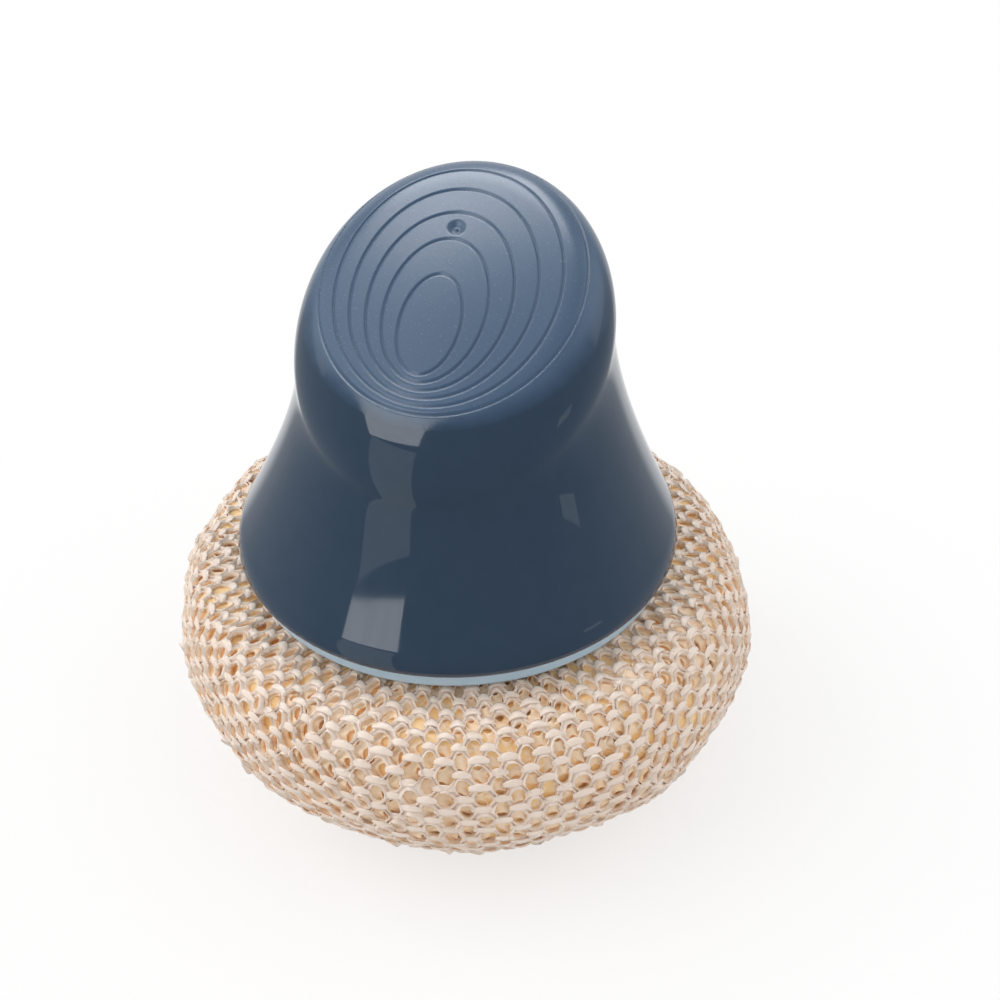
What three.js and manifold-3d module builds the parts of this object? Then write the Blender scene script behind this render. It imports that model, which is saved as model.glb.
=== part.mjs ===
// Pot scrubber: a ball of knitted ribbon, hooked under a bell-shaped handle with a sloping thumb pad.
// Millimetres and degrees, +Z up. The ball stands on z = 0 and the thumb pad faces -Y.
import * as THREE from "three";
import { mergeVertices } from "three/addons/utils/BufferGeometryUtils.js";
import Module from "manifold-3d";

const wasm = await Module();
wasm.setup();

// Fit between neighbouring pieces
const CLEARANCE = 0.3;

// Ball of knitted ribbon
const BALL_RADIUS = 45;
const BALL_HEIGHT = 33.2;
const BALL_EQUATOR = 20; // height of its widest ring
const BALL_FOOT_RADIUS = 18; // flat that it stands on
const BALL_TOP_RADIUS = 35; // flat under the handle
const SLEEVE_SKIN = 3;
const DIMPLE_RADIUS = 6; // drawn-in middle of the foot
const DIMPLE_DEPTH = 2;
const LIP_OVERHANG = 1.5; // net below the gather ring
const LIP_ROUND = 1.5;
const ROLL_ROUND = 2.5;

// Gather ring in the ball's mouth
const RING_WALL = 2;
const RING_HEIGHT = 2.4;

// Claw crown that hooks under the gather ring
const CLAW_COUNT = 6;
const CLAW_RADIUS = 10.5; // outside of the fingers
const CLAW_THICKNESS = 1.8;
const CLAW_WIDTH = 4;
const CLAW_LENGTH = 11; // from the hub's top to the fingertips
const BARB_REACH = 1.8;
const BARB_HEIGHT = 3;
const BARB_BACK = 0.8; // height of the barb's upright edge
const HUB_THICKNESS = 2.5;
const BOSS_RADIUS = 3.6;
const BOSS_LENGTH = 9; // from the hub's top

// Crown screw
const SCREW_RADIUS = 1.5;
const SCREW_LENGTH = 10; // under the head
const SCREW_HEAD_RADIUS = 2.8;
const SCREW_HEAD_HEIGHT = 2;
const SCREW_SLOT_WIDTH = 0.7;
const SCREW_SLOT_LENGTH = 3.2;
const SCREW_SLOT_DEPTH = 1;

// Base plate with its bayonet spigot
const PLATE_THICKNESS = 2.2;
const PLATE_INSET = 0.5; // inside the handle's rim
const PLATE_EDGE = 0.5;
const SPIGOT_WALL = 2;
const LUG_COUNT = 3;
const LUG_ANGLE = 36;
const LUG_REACH = 2.2; // over the ledge
const LUG_THICKNESS = 1.8;
const LUG_PLAY = 0.8; // from the lug to the handle's wall

// Handle, with heights from its rim
const RIM_RADIUS = 32.9; // widest ring
const RIM_ROLL = 2; // height of the widest ring
const RIM_TUCK = 0.6; // how far the rim's edge lies inside the widest ring
const BULB_RADIUS = 21.4;
const NECK_HEIGHT = 21;
const NECK_FOLLOW = 0.5; // share of the shoulder's slope that the neck follows
const PAD_HEIGHT = 38.6; // at the middle of the pad
const PAD_TILT = 30.6;
const PAD_CROWN = 0.6;
const SHOULDER_WIDTH = 4.6; // rounded edge of the pad
const SHOULDER_HEIGHT = 7.3;
const HANDLE_WALL = 2;
const LEDGE_HEIGHT = 2.2;
const LEDGE_THICKNESS = 1.5;
const LEDGE_ANGLE = 50;
const STOP_ANGLE = 3;

// Fineness of the round shapes
const SEGMENTS = 48;
const ARC_STEPS = 5;
const BALL_STEPS = 4;
const WALL_STEPS = 11;
const SECTOR_STEPS = 8;
const MERGE = 1e-4;
const WELD = 0.5; // how far a joined feature runs into its carrier

// Stack of the pieces, from the floor up
const HOLDER_Z = BALL_HEIGHT + CLEARANCE;
const HANDLE_Z = HOLDER_Z + PLATE_THICKNESS + CLEARANCE;

// Places in the holder, with heights from the plate's underside
const HUB_TOP = -CLEARANCE;
const CLAW_TIP = HUB_TOP - CLAW_LENGTH;
const RING_BOTTOM = CLAW_TIP + BARB_HEIGHT + CLEARANCE;
const RING_INNER = CLAW_RADIUS + CLEARANCE;
const RING_OUTER = RING_INNER + RING_WALL;
const MOUTH_RADIUS = RING_OUTER + CLEARANCE;
const LIP_BOTTOM = HOLDER_Z + RING_BOTTOM - LIP_OVERHANG;

// Bayonet, from the handle's wall inwards
const LUG_BOTTOM = LEDGE_HEIGHT + LEDGE_THICKNESS + CLEARANCE;
const LUG_TOP = LUG_BOTTOM + LUG_THICKNESS;
const LUG_RADIUS = frontRadius(LUG_TOP) - HANDLE_WALL - LUG_PLAY;
const LEDGE_RADIUS = LUG_RADIUS - LUG_REACH;
const SPIGOT_RADIUS = LEDGE_RADIUS - CLEARANCE;

function degrees(angle) {
  return THREE.MathUtils.degToRad(angle);
}

// Closed mesh as a solid that can be joined and cut
function solidOf(geometry) {
  const bare = geometry.clone();
  bare.deleteAttribute("normal");
  bare.deleteAttribute("uv");
  const merged = mergeVertices(bare, MERGE);
  const corners = merged.index.array;
  const kept = [];
  for (let i = 0; i < corners.length; i += 3) {
    const [a, b, c] = corners.slice(i, i + 3);
    if (a !== b && b !== c && c !== a) kept.push(a, b, c);
  }
  const mesh = new wasm.Mesh({
    numProp: 3,
    vertProperties: merged.attributes.position.array,
    triVerts: new Uint32Array(kept),
  });
  return new wasm.Manifold(mesh);
}

function geometryOf(solid) {
  const mesh = solid.getMesh();
  const geometry = new THREE.BufferGeometry();
  geometry.setAttribute("position", new THREE.BufferAttribute(mesh.vertProperties, 3));
  geometry.setIndex(new THREE.BufferAttribute(mesh.triVerts, 1));
  geometry.computeVertexNormals();
  return geometry;
}

// Profile of radius and height, turned about Z
function turned(points) {
  return new THREE.LatheGeometry(points, SEGMENTS).rotateX(Math.PI / 2);
}

function turnedPairs(pairs) {
  return turned(pairs.map(([radius, height]) => new THREE.Vector2(radius, height)));
}

function ring(inner, outer, bottom, top) {
  const corners = [[inner, bottom], [outer, bottom], [outer, top], [inner, top], [inner, bottom]];
  return turnedPairs(corners);
}

// Slice of a ring, centred on an angle
function sector(inner, outer, bottom, top, middle, spread) {
  const from = degrees(middle - spread / 2);
  const to = degrees(middle + spread / 2);
  const shape = new THREE.Shape();
  shape.absarc(0, 0, outer, from, to, false);
  shape.absarc(0, 0, inner, to, from, true);
  const settings = { depth: top - bottom, bevelEnabled: false, curveSegments: SECTOR_STEPS };
  return new THREE.ExtrudeGeometry(shape, settings).translate(0, 0, bottom);
}

// Meridian of the handle at one angle, from the rim's edge to the middle of the pad.
// The inset moves it inwards, for the inside of the wall.
function handleMeridian(angle, inset) {
  const slope = Math.tan(degrees(PAD_TILT));
  const bulb = BULB_RADIUS - inset;
  const level = PAD_HEIGHT - SHOULDER_HEIGHT;
  const shoulder = level + slope * bulb * Math.sin(angle);
  const neck = NECK_HEIGHT + NECK_FOLLOW * (shoulder - level);
  const wall = new THREE.QuadraticBezierCurve(
    new THREE.Vector2(RIM_RADIUS - inset, RIM_ROLL),
    new THREE.Vector2(bulb, neck),
    new THREE.Vector2(bulb, shoulder),
  );
  const points = [new THREE.Vector2(RIM_RADIUS - RIM_TUCK - inset, 0), ...wall.getPoints(WALL_STEPS)];
  const padRadius = BULB_RADIUS - SHOULDER_WIDTH;
  const rise = SHOULDER_HEIGHT - inset;
  const onPad = (radius, height) => new THREE.Vector2(radius, height + slope * radius * Math.sin(angle));
  for (let i = 1; i <= ARC_STEPS; i++) {
    const turn = (i / ARC_STEPS) * (Math.PI / 2);
    const radius = padRadius + (SHOULDER_WIDTH - inset) * Math.cos(turn);
    points.push(onPad(radius, level + rise * Math.sin(turn)));
  }
  points.push(onPad(padRadius / 2, level + rise + PAD_CROWN * 0.75));
  points.push(new THREE.Vector2(0, level + rise + PAD_CROWN));
  return points;
}

// Outside radius of the handle at its front, where the wall leans in the most
function frontRadius(height) {
  const points = handleMeridian(-Math.PI / 2, 0);
  const above = points.findIndex((point) => point.y >= height);
  const from = points[above - 1];
  const to = points[above];
  return THREE.MathUtils.mapLinear(height, from.y, to.y, from.x, to.x);
}

// Closed surface whose meridian, from axis to axis, changes with the angle
function spun(meridianAt) {
  const positions = [];
  const corners = [];
  const count = meridianAt(0).length;
  for (let i = 0; i < SEGMENTS; i++) {
    const angle = (i / SEGMENTS) * 2 * Math.PI;
    for (const point of meridianAt(angle)) {
      positions.push(point.x * Math.cos(angle), point.x * Math.sin(angle), point.y);
    }
    const here = i * count;
    const next = ((i + 1) % SEGMENTS) * count;
    for (let j = 0; j < count - 1; j++) {
      corners.push(here + j, next + j, here + j + 1);
      corners.push(next + j, next + j + 1, here + j + 1);
    }
  }
  const geometry = new THREE.BufferGeometry();
  geometry.setAttribute("position", new THREE.Float32BufferAttribute(positions, 3));
  geometry.setIndex(corners);
  return geometry;
}

// Bell with a wall of even thickness, open below, and the bayonet ledges inside its rim
function handleShell() {
  const bell = spun((angle) => [
    ...handleMeridian(angle, HANDLE_WALL).reverse(),
    ...handleMeridian(angle, 0),
  ]);
  const middle = spun((angle) => [new THREE.Vector2(0, 0), ...handleMeridian(angle, HANDLE_WALL / 2)]);
  const midWall = solidOf(middle);
  let solid = solidOf(bell);
  for (let i = 0; i < LUG_COUNT; i++) {
    const angle = (i * 360) / LUG_COUNT;
    const top = LEDGE_HEIGHT + LEDGE_THICKNESS;
    const ledge = sector(LEDGE_RADIUS, RIM_RADIUS, LEDGE_HEIGHT, top, angle, LEDGE_ANGLE);
    const gap = THREE.MathUtils.radToDeg(CLEARANCE / LEDGE_RADIUS);
    const beside = angle + LUG_ANGLE / 2 + gap + STOP_ANGLE / 2;
    const stop = sector(LEDGE_RADIUS, RIM_RADIUS, top - WELD, LUG_TOP, beside, STOP_ANGLE);
    const bayonet = solidOf(ledge).add(solidOf(stop));
    solid = solid.add(bayonet.intersect(midWall));
  }
  return geometryOf(solid);
}

// Disc that closes the handle and presses on the ball, with a spigot and lugs that turn into the ledges
function basePlate() {
  const radius = RIM_RADIUS - RIM_TUCK - PLATE_INSET;
  const hole = SCREW_RADIUS + CLEARANCE;
  const disc = turnedPairs([
    [hole, 0],
    [radius - PLATE_EDGE, 0],
    [radius, PLATE_EDGE],
    [radius, PLATE_THICKNESS - PLATE_EDGE],
    [radius - PLATE_EDGE, PLATE_THICKNESS],
    [hole, PLATE_THICKNESS],
    [hole, 0],
  ]);
  const rim = HANDLE_Z - HOLDER_Z;
  const inner = SPIGOT_RADIUS - SPIGOT_WALL;
  let solid = solidOf(disc).add(solidOf(ring(inner, SPIGOT_RADIUS, PLATE_THICKNESS - WELD, rim + LUG_TOP)));
  for (let i = 0; i < LUG_COUNT; i++) {
    const angle = (i * 360) / LUG_COUNT;
    const root = SPIGOT_RADIUS - WELD;
    solid = solid.add(solidOf(sector(root, LUG_RADIUS, rim + LUG_BOTTOM, rim + LUG_TOP, angle, LUG_ANGLE)));
  }
  return geometryOf(solid);
}

// Hub with a screw boss and a ring of barbed fingers
function clawCrown() {
  const hole = SCREW_RADIUS + CLEARANCE;
  const hub = ring(hole, CLAW_RADIUS, HUB_TOP - HUB_THICKNESS, HUB_TOP);
  const boss = ring(hole, BOSS_RADIUS, HUB_TOP - BOSS_LENGTH, HUB_TOP);
  let solid = solidOf(hub).add(solidOf(boss));
  const inside = CLAW_RADIUS - CLAW_THICKNESS;
  const outline = new THREE.Shape([
    new THREE.Vector2(inside, HUB_TOP - WELD),
    new THREE.Vector2(inside, CLAW_TIP),
    new THREE.Vector2(CLAW_RADIUS, CLAW_TIP),
    new THREE.Vector2(CLAW_RADIUS + BARB_REACH, CLAW_TIP + BARB_HEIGHT - BARB_BACK),
    new THREE.Vector2(CLAW_RADIUS + BARB_REACH, CLAW_TIP + BARB_HEIGHT),
    new THREE.Vector2(CLAW_RADIUS, CLAW_TIP + BARB_HEIGHT),
    new THREE.Vector2(CLAW_RADIUS, HUB_TOP - HUB_THICKNESS),
    new THREE.Vector2(CLAW_RADIUS - WELD, HUB_TOP - WELD),
  ]);
  const finger = new THREE.ExtrudeGeometry(outline, { depth: CLAW_WIDTH, bevelEnabled: false });
  finger.rotateX(Math.PI / 2).translate(0, CLAW_WIDTH / 2, 0);
  for (let i = 0; i < CLAW_COUNT; i++) {
    const copy = finger.clone().rotateZ(degrees((i * 360) / CLAW_COUNT));
    solid = solid.add(solidOf(copy));
  }
  return geometryOf(solid);
}

// Pan-head screw with a cross recess, driven from inside the handle
function crownScrew() {
  const seat = PLATE_THICKNESS + CLEARANCE;
  const top = seat + SCREW_HEAD_HEIGHT;
  const body = turnedPairs([
    [0, seat - SCREW_LENGTH],
    [SCREW_RADIUS, seat - SCREW_LENGTH + SCREW_RADIUS],
    [SCREW_RADIUS, seat],
    [SCREW_HEAD_RADIUS, seat],
    [SCREW_HEAD_RADIUS, seat + SCREW_HEAD_HEIGHT / 2],
    [SCREW_HEAD_RADIUS - SCREW_HEAD_HEIGHT / 2, top],
    [0, top],
  ]);
  const slot = new THREE.BoxGeometry(SCREW_SLOT_LENGTH, SCREW_SLOT_WIDTH, 2 * SCREW_SLOT_DEPTH);
  slot.translate(0, 0, top);
  const across = slot.clone().rotateZ(Math.PI / 2);
  return geometryOf(solidOf(body).subtract(solidOf(slot)).subtract(solidOf(across)));
}

// Plastic ring that the net's mouth is gathered on
function gatherRing() {
  return ring(RING_INNER, RING_OUTER, RING_BOTTOM, RING_BOTTOM + RING_HEIGHT);
}

// Lower and upper flank of the ball as one path, inset from the net's outside
function flank(path, inset) {
  const low = BALL_EQUATOR - inset;
  const high = BALL_HEIGHT - BALL_EQUATOR - inset;
  const foot = BALL_RADIUS - BALL_FOOT_RADIUS - inset;
  const top = BALL_RADIUS - BALL_TOP_RADIUS - inset;
  path.absellipse(BALL_FOOT_RADIUS, BALL_EQUATOR, foot, low, -Math.PI / 2, 0, false, 0);
  path.absellipse(BALL_TOP_RADIUS, BALL_EQUATOR, top, high, 0, Math.PI / 2, false, 0);
}

// Outer net: a pouch whose mouth turns in round the gather ring
function outerSleeve() {
  const outside = new THREE.Path().moveTo(0, DIMPLE_DEPTH);
  outside.lineTo(DIMPLE_RADIUS, 0);
  flank(outside, 0);
  const lipCentre = MOUTH_RADIUS + LIP_ROUND;
  const lipTop = BALL_HEIGHT - LIP_ROUND;
  outside.absarc(lipCentre, lipTop, LIP_ROUND, Math.PI / 2, Math.PI, false);
  outside.lineTo(MOUTH_RADIUS, LIP_BOTTOM);
  const inside = new THREE.Path().moveTo(0, DIMPLE_DEPTH + SLEEVE_SKIN);
  inside.lineTo(DIMPLE_RADIUS, SLEEVE_SKIN);
  flank(inside, SLEEVE_SKIN);
  inside.lineTo(MOUTH_RADIUS + SLEEVE_SKIN, BALL_HEIGHT - SLEEVE_SKIN);
  inside.lineTo(MOUTH_RADIUS + SLEEVE_SKIN, LIP_BOTTOM);
  return turned([...outside.getPoints(BALL_STEPS), ...inside.getPoints(BALL_STEPS).reverse()]);
}

// Rest of the knitted tube, rolled up inside the outer net
function innerRoll() {
  const inset = SLEEVE_SKIN + CLEARANCE;
  const bore = MOUTH_RADIUS + inset;
  const section = new THREE.Path().moveTo(bore, inset + ROLL_ROUND);
  section.absarc(bore + ROLL_ROUND, inset + ROLL_ROUND, ROLL_ROUND, Math.PI, Math.PI * 1.5, false);
  flank(section, inset);
  const top = BALL_HEIGHT - inset - ROLL_ROUND;
  section.absarc(bore + ROLL_ROUND, top, ROLL_ROUND, Math.PI / 2, Math.PI, false);
  section.lineTo(bore, inset + ROLL_ROUND);
  return turned(section.getPoints(BALL_STEPS));
}

function piece(name, geometry, color, roughness, metalness) {
  const material = new THREE.MeshStandardMaterial({ color, roughness, metalness });
  const mesh = new THREE.Mesh(geometry, material);
  mesh.name = name;
  return mesh;
}

const ball = new THREE.Group();
ball.add(piece("outer_sleeve", outerSleeve(), 0xe3d2bf, 0.5, 0));
ball.add(piece("inner_roll", innerRoll(), 0xd0a878, 0.5, 0));

const holder = new THREE.Group();
holder.position.z = HOLDER_Z;
holder.add(piece("base_plate", basePlate(), 0xa5bccd, 0.45, 0));
holder.add(piece("claw_crown", clawCrown(), 0xe6e4dc, 0.5, 0));
holder.add(piece("crown_screw", crownScrew(), 0xb9bcc0, 0.3, 1));
holder.add(piece("gather_ring", gatherRing(), 0xe6e4dc, 0.5, 0));

const handle = new THREE.Group();
handle.position.z = HANDLE_Z;
handle.add(piece("handle_shell", handleShell(), 0x34465a, 0.18, 0));

const scrubber = new THREE.Group();
scrubber.name = "pot_scrubber";
scrubber.add(ball, holder, handle);

export default scrubber;
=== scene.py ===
# %% [markdown]
# A pot scrubber, dressed for the camera.
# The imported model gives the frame: a ball of knitted ribbon, a plate on top of it and a bell-shaped handle.
# This lesson adds what the eye looks for: the knit, stitch by stitch, the grooved thumb pad and the gloss.

import math

import bpy
import numpy as np
from mathutils import Matrix, Vector


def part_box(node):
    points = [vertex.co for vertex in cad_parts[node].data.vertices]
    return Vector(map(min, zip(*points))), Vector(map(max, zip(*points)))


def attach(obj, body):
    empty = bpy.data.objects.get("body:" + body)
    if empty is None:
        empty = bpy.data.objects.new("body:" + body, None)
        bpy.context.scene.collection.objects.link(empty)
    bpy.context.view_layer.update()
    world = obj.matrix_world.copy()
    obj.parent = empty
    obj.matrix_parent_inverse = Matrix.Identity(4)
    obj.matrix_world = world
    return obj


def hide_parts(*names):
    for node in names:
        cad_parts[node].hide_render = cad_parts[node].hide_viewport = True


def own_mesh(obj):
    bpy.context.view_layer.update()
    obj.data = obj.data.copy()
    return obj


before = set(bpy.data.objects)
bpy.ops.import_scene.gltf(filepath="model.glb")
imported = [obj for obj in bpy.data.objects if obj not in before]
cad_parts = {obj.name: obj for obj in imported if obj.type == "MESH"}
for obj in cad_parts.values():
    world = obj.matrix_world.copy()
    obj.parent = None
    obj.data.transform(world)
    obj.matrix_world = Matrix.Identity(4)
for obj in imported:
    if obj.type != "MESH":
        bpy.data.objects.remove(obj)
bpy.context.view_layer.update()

# %% [markdown]
# Sizes are in millimetres, as on a drawing, and turn to metres only where a mesh is made.
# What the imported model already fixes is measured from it, so that the two can't drift apart.

# %% Sizes from the frame
MM = 0.001


def box_mm(node):
    low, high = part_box(node)
    return np.array(low) / MM, np.array(high) / MM


BALL_RADIUS, BALL_TOP = box_mm("outer_sleeve")[1][[0, 2]]
PLATE_RADIUS, SPIGOT_TOP = box_mm("base_plate")[1][[0, 2]]
PLATE_BOTTOM = box_mm("base_plate")[0][2]
RIM_RADIUS = box_mm("handle_shell")[1][0]
RIM_Z = box_mm("handle_shell")[0][2]
RING_RADIUS = box_mm("gather_ring")[1][0]
print(f"ball {2 * BALL_RADIUS:.1f} mm wide and {BALL_TOP:.1f} high, handle's rim at {RIM_Z:.1f}")

# %% [markdown]
# The photograph was taken from close by, so near things look big: the ball is only 160 mm away.
# The camera stands 38 degrees above the table and 13 degrees round from the pad's own front.
# Its focal length is known in pixels of the 1000-pixel picture, which gives the lens for a 36 mm sensor.

# %% Camera at the photograph's viewpoint
PICTURE_PIXELS = 1000
FOCAL_PIXELS = 985
SENSOR_WIDTH = 36
PITCH = math.radians(38)
AZIMUTH = math.radians(13)
BALL_EQUATOR = 20
BALL_IN_VIEW = (-6.2, -15.2, 160)  # right of the camera, above it and ahead of it

right = Vector((math.cos(AZIMUTH), math.sin(AZIMUTH), 0))
away = Vector((-math.sin(AZIMUTH), math.cos(AZIMUTH), 0))
upright = Vector((0, 0, 1))
up = math.cos(PITCH) * upright + math.sin(PITCH) * away
ahead = math.cos(PITCH) * away - math.sin(PITCH) * upright
to_ball = sum((d * axis for d, axis in zip(BALL_IN_VIEW, (right, up, ahead))), Vector())
stand = (BALL_EQUATOR * upright - to_ball) * MM

camera = bpy.data.objects.new("camera", bpy.data.cameras.new("camera"))
camera.data.sensor_width = SENSOR_WIDTH
camera.data.lens = FOCAL_PIXELS / PICTURE_PIXELS * SENSOR_WIDTH
camera.data.clip_start = MM
camera.matrix_world = Matrix.Translation(stand) @ Matrix((right, up, -ahead)).transposed().to_4x4()
bpy.context.scene.collection.objects.link(camera)
bpy.context.scene.camera = camera
print("camera at", [round(value / MM) for value in stand], "mm, lens", round(camera.data.lens, 1), "mm")

# %% [markdown]
# Every surface here is a grid of points with quads between them, so one helper turns grids into meshes.
# A grid closes on itself where its columns go right round, as on anything turned on an axis.

# %% Meshes from grids of points


def grid_faces(rows, columns):
    """Quads between the rows of a grid whose columns go right round."""
    here = np.arange(rows - 1)[:, None] * columns + np.arange(columns)
    beside = np.arange(rows - 1)[:, None] * columns + np.roll(np.arange(columns), -1)
    return np.stack([here, here + columns, beside + columns, beside], -1).reshape(-1, 4)


def mesh_piece(name, body, points, faces, materials):
    """A piece of the model, from points in millimetres, that rides on a body and fills a material slot."""
    mesh = bpy.data.meshes.new(name)
    mesh.from_pydata((points * MM).tolist(), [], faces.tolist())
    mesh.shade_smooth()
    for material in materials:
        mesh.materials.append(material)
    piece = bpy.data.objects.new(name, mesh)
    bpy.context.scene.collection.objects.link(piece)
    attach(piece, body)
    print(name, len(mesh.vertices), "points", len(mesh.polygons), "faces")
    return piece


print("3 rows of 4 points have", len(grid_faces(3, 4)), "faces between them")

# %% [markdown]
# Colours are written as the sRGB hex values that a picture shows, and one function makes them linear light.
# A second function adds a shader node, sets it and links it, and every material below is made with it.

# %% Colours and shader nodes


def colour(code):
    """Linear light of an sRGB hex value."""
    channels = [int(code[i : i + 2], 16) / 255 for i in (1, 3, 5)]
    linear = [c / 12.92 if c <= 0.04045 else ((c + 0.055) / 1.055) ** 2.4 for c in channels]
    return (*linear, 1)


def add_node(owner, kind, inputs, **settings):
    """A node of that kind in a material or world, with values or links on its inputs."""
    made = owner.node_tree.nodes.new(kind)
    for name, value in settings.items():
        setattr(made, name, value)
    for name, value in inputs.items():
        if isinstance(value, bpy.types.NodeSocket):
            owner.node_tree.links.new(value, made.inputs[name])
        else:
            made.inputs[name].default_value = value
    return made


def new_material(name):
    material = bpy.data.materials.new(name)
    material.use_nodes = True
    material.node_tree.nodes.clear()
    return material


print("mid grey in linear light", round(colour("#808080")[0], 3))

# %% [markdown]
# All finishes share a few steps. Noise of a real size says where the surface varies, a ramp turns it into
# two near tones of one colour, a range turns it into roughness, and a bump turns it into relief.
# A pattern's scale is one over its size, because Blender counts repeats per metre.

# %% Steps that the finishes share


def per_metre(size):
    return 1 / (size * MM)


def object_place(owner):
    return add_node(owner, "ShaderNodeTexCoord", {}).outputs["Object"]


def noise(owner, size, detail):
    """Noise of that size in millimetres, fixed to the object."""
    inputs = {"Vector": object_place(owner), "Scale": per_metre(size), "Detail": detail}
    return add_node(owner, "ShaderNodeTexNoise", inputs).outputs["Fac"]


def ranged(owner, value, new, old=(0, 1)):
    """A value that runs over the old range, made to run over the new one."""
    inputs = {"Value": value, "From Min": old[0], "From Max": old[1], "To Min": new[0], "To Max": new[1]}
    return add_node(owner, "ShaderNodeMapRange", inputs).outputs["Result"]


def combined(owner, operation, first, second):
    return add_node(owner, "ShaderNodeMath", {0: first, 1: second}, operation=operation).outputs["Value"]


def two_tones(owner, value, tones, stops=(0, 1)):
    ramp = add_node(owner, "ShaderNodeValToRGB", {"Fac": value})
    for element, tone, stop in zip(ramp.color_ramp.elements, tones, stops):
        element.color = colour(tone)
        element.position = stop
    return ramp.outputs["Color"]


def bump(owner, height, depth, strength):
    inputs = {"Height": height, "Strength": strength, "Distance": depth * MM}
    return add_node(owner, "ShaderNodeBump", inputs).outputs["Normal"]


def add_surface(material, inputs):
    shader = add_node(material, "ShaderNodeBsdfPrincipled", inputs)
    add_node(material, "ShaderNodeOutputMaterial", {"Surface": shader.outputs["BSDF"]})


print("a pattern of 2 mm repeats", round(per_metre(2)), "times per metre")

# %% [markdown]
# The handle is moulded in navy ABS against polished steel, which gives it a gloss that mirrors the room.
# A cooled moulding is never quite even: slow waves bend the reflections, and handling leaves a faint haze.
# ABS has an IOR of about 1.54.

# %% Polished ABS
ABS_IOR = 1.54
SINK_WAVE = 14
SINK_DEPTH = 0.3
HAZE_SIZE = 3

polished_abs = new_material("ABS moulded, polished navy")
sink = noise(polished_abs, SINK_WAVE, detail=1)
haze = noise(polished_abs, HAZE_SIZE, detail=4)
add_surface(
    polished_abs,
    {
        "Base Color": two_tones(polished_abs, haze, ("#2e3f51", "#334457")),
        "Roughness": ranged(polished_abs, haze, (0.03, 0.06), old=(0.3, 0.75)),
        "IOR": ABS_IOR,
        "Normal": bump(polished_abs, sink, SINK_DEPTH, strength=0.2),
    },
)
print(polished_abs.name, "waves of", SINK_WAVE, "mm")

# %% [markdown]
# The thumb pad is the same ABS, moulded against spark-eroded steel: a fine even grain that scatters light.
# Inside its edge the pad's tone is drawn lighter than the polished body's: painted sheen and light for what
# the upward-facing grain catches from above.
# Towards the pad's edge both tone and roughness run over into the polish, so that no line shows there.
# The real grain is about 0.1 mm, too fine for the picture, so it is drawn at 0.35 mm.

# %% Textured ABS
SPARK_GRAIN = 0.35
GRAIN_DEPTH = 0.05
TEXTURE_CENTRE = (0, 1.5)
TEXTURE_RADII = (20.4, 19.2)
BLEND_SHARE = 0.09

textured_abs = new_material("ABS moulded, spark-textured navy")
on_pad = add_node(
    textured_abs,
    "ShaderNodeMapping",
    {
        "Vector": object_place(textured_abs),
        "Location": (TEXTURE_CENTRE[0] * MM, TEXTURE_CENTRE[1] * MM, 0),
        "Scale": (TEXTURE_RADII[0] * MM, TEXTURE_RADII[1] * MM, 1),
    },
    vector_type="TEXTURE",
)
inward = add_node(
    textured_abs, "ShaderNodeTexGradient", {"Vector": on_pad.outputs["Vector"]}, gradient_type="SPHERICAL"
)
wear = ranged(textured_abs, noise(textured_abs, HAZE_SIZE, detail=3), (-0.02, 0.02))
blend = combined(textured_abs, "ADD", inward.outputs["Fac"], wear)
grain = noise(textured_abs, SPARK_GRAIN, detail=3)
even = ranged(textured_abs, blend, (0.08, 0.25), old=(0, BLEND_SHARE))
uneven = ranged(textured_abs, grain, (-0.03, 0.03), old=(0.3, 0.7))
add_surface(
    textured_abs,
    {
        # painted sheen and light: the pad's inner tone is lighter than the body's navy, fading to it at the
        # edge
        "Base Color": two_tones(textured_abs, blend, ("#32455a", "#465e79"), (0, BLEND_SHARE)),
        "Roughness": combined(textured_abs, "ADD", even, uneven),
        "IOR": ABS_IOR,
        "Normal": bump(textured_abs, grain, GRAIN_DEPTH, strength=0.2),
    },
)
print(textured_abs.name, "grain of", SPARK_GRAIN, "mm")

# %% [markdown]
# The handle is a bell that swells into a bulb, cut off by a sloping pad with a rounded shoulder.
# Seen from above each level is a circle, so the wall is drawn meridian by meridian: from the rim one curve
# leads up to the shoulder, whose height rises and falls with the pad's slope as the angle goes round.

# %% Wall and shoulder of the handle
SIDES = 384
BULB_RADIUS = 21.4
RIM_ROLL = 2
NECK_HEIGHT = 21
NECK_FOLLOW = 0.5
PAD_HEIGHT = 38.6
PAD_CROWN = 0.6
PAD_SLOPE = math.tan(math.radians(30.6))
SHOULDER_WIDTH = 6.9
SHOULDER_EASE = 0.8
SHOULDER_HEIGHT = 7.3
SHOULDER_FOOT = PAD_HEIGHT - SHOULDER_HEIGHT

turn = np.linspace(0, 2 * np.pi, SIDES, endpoint=False)
compass = np.stack([np.cos(turn), np.sin(turn)], -1)


def pad_height(plan):
    """Height over the rim of the pad and its shoulder, at points seen from above."""
    radius = np.linalg.norm(plan, axis=-1)
    width = SHOULDER_WIDTH + SHOULDER_EASE * plan[..., 1] / radius
    over = np.clip((radius - BULB_RADIUS) / width + 1, 0, 1)
    crown = PAD_CROWN * (1 - (radius / BULB_RADIUS) ** 2) ** 2
    return SHOULDER_FOOT + SHOULDER_HEIGHT * np.sqrt(1 - over**2) + crown + PAD_SLOPE * plan[..., 1]


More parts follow.
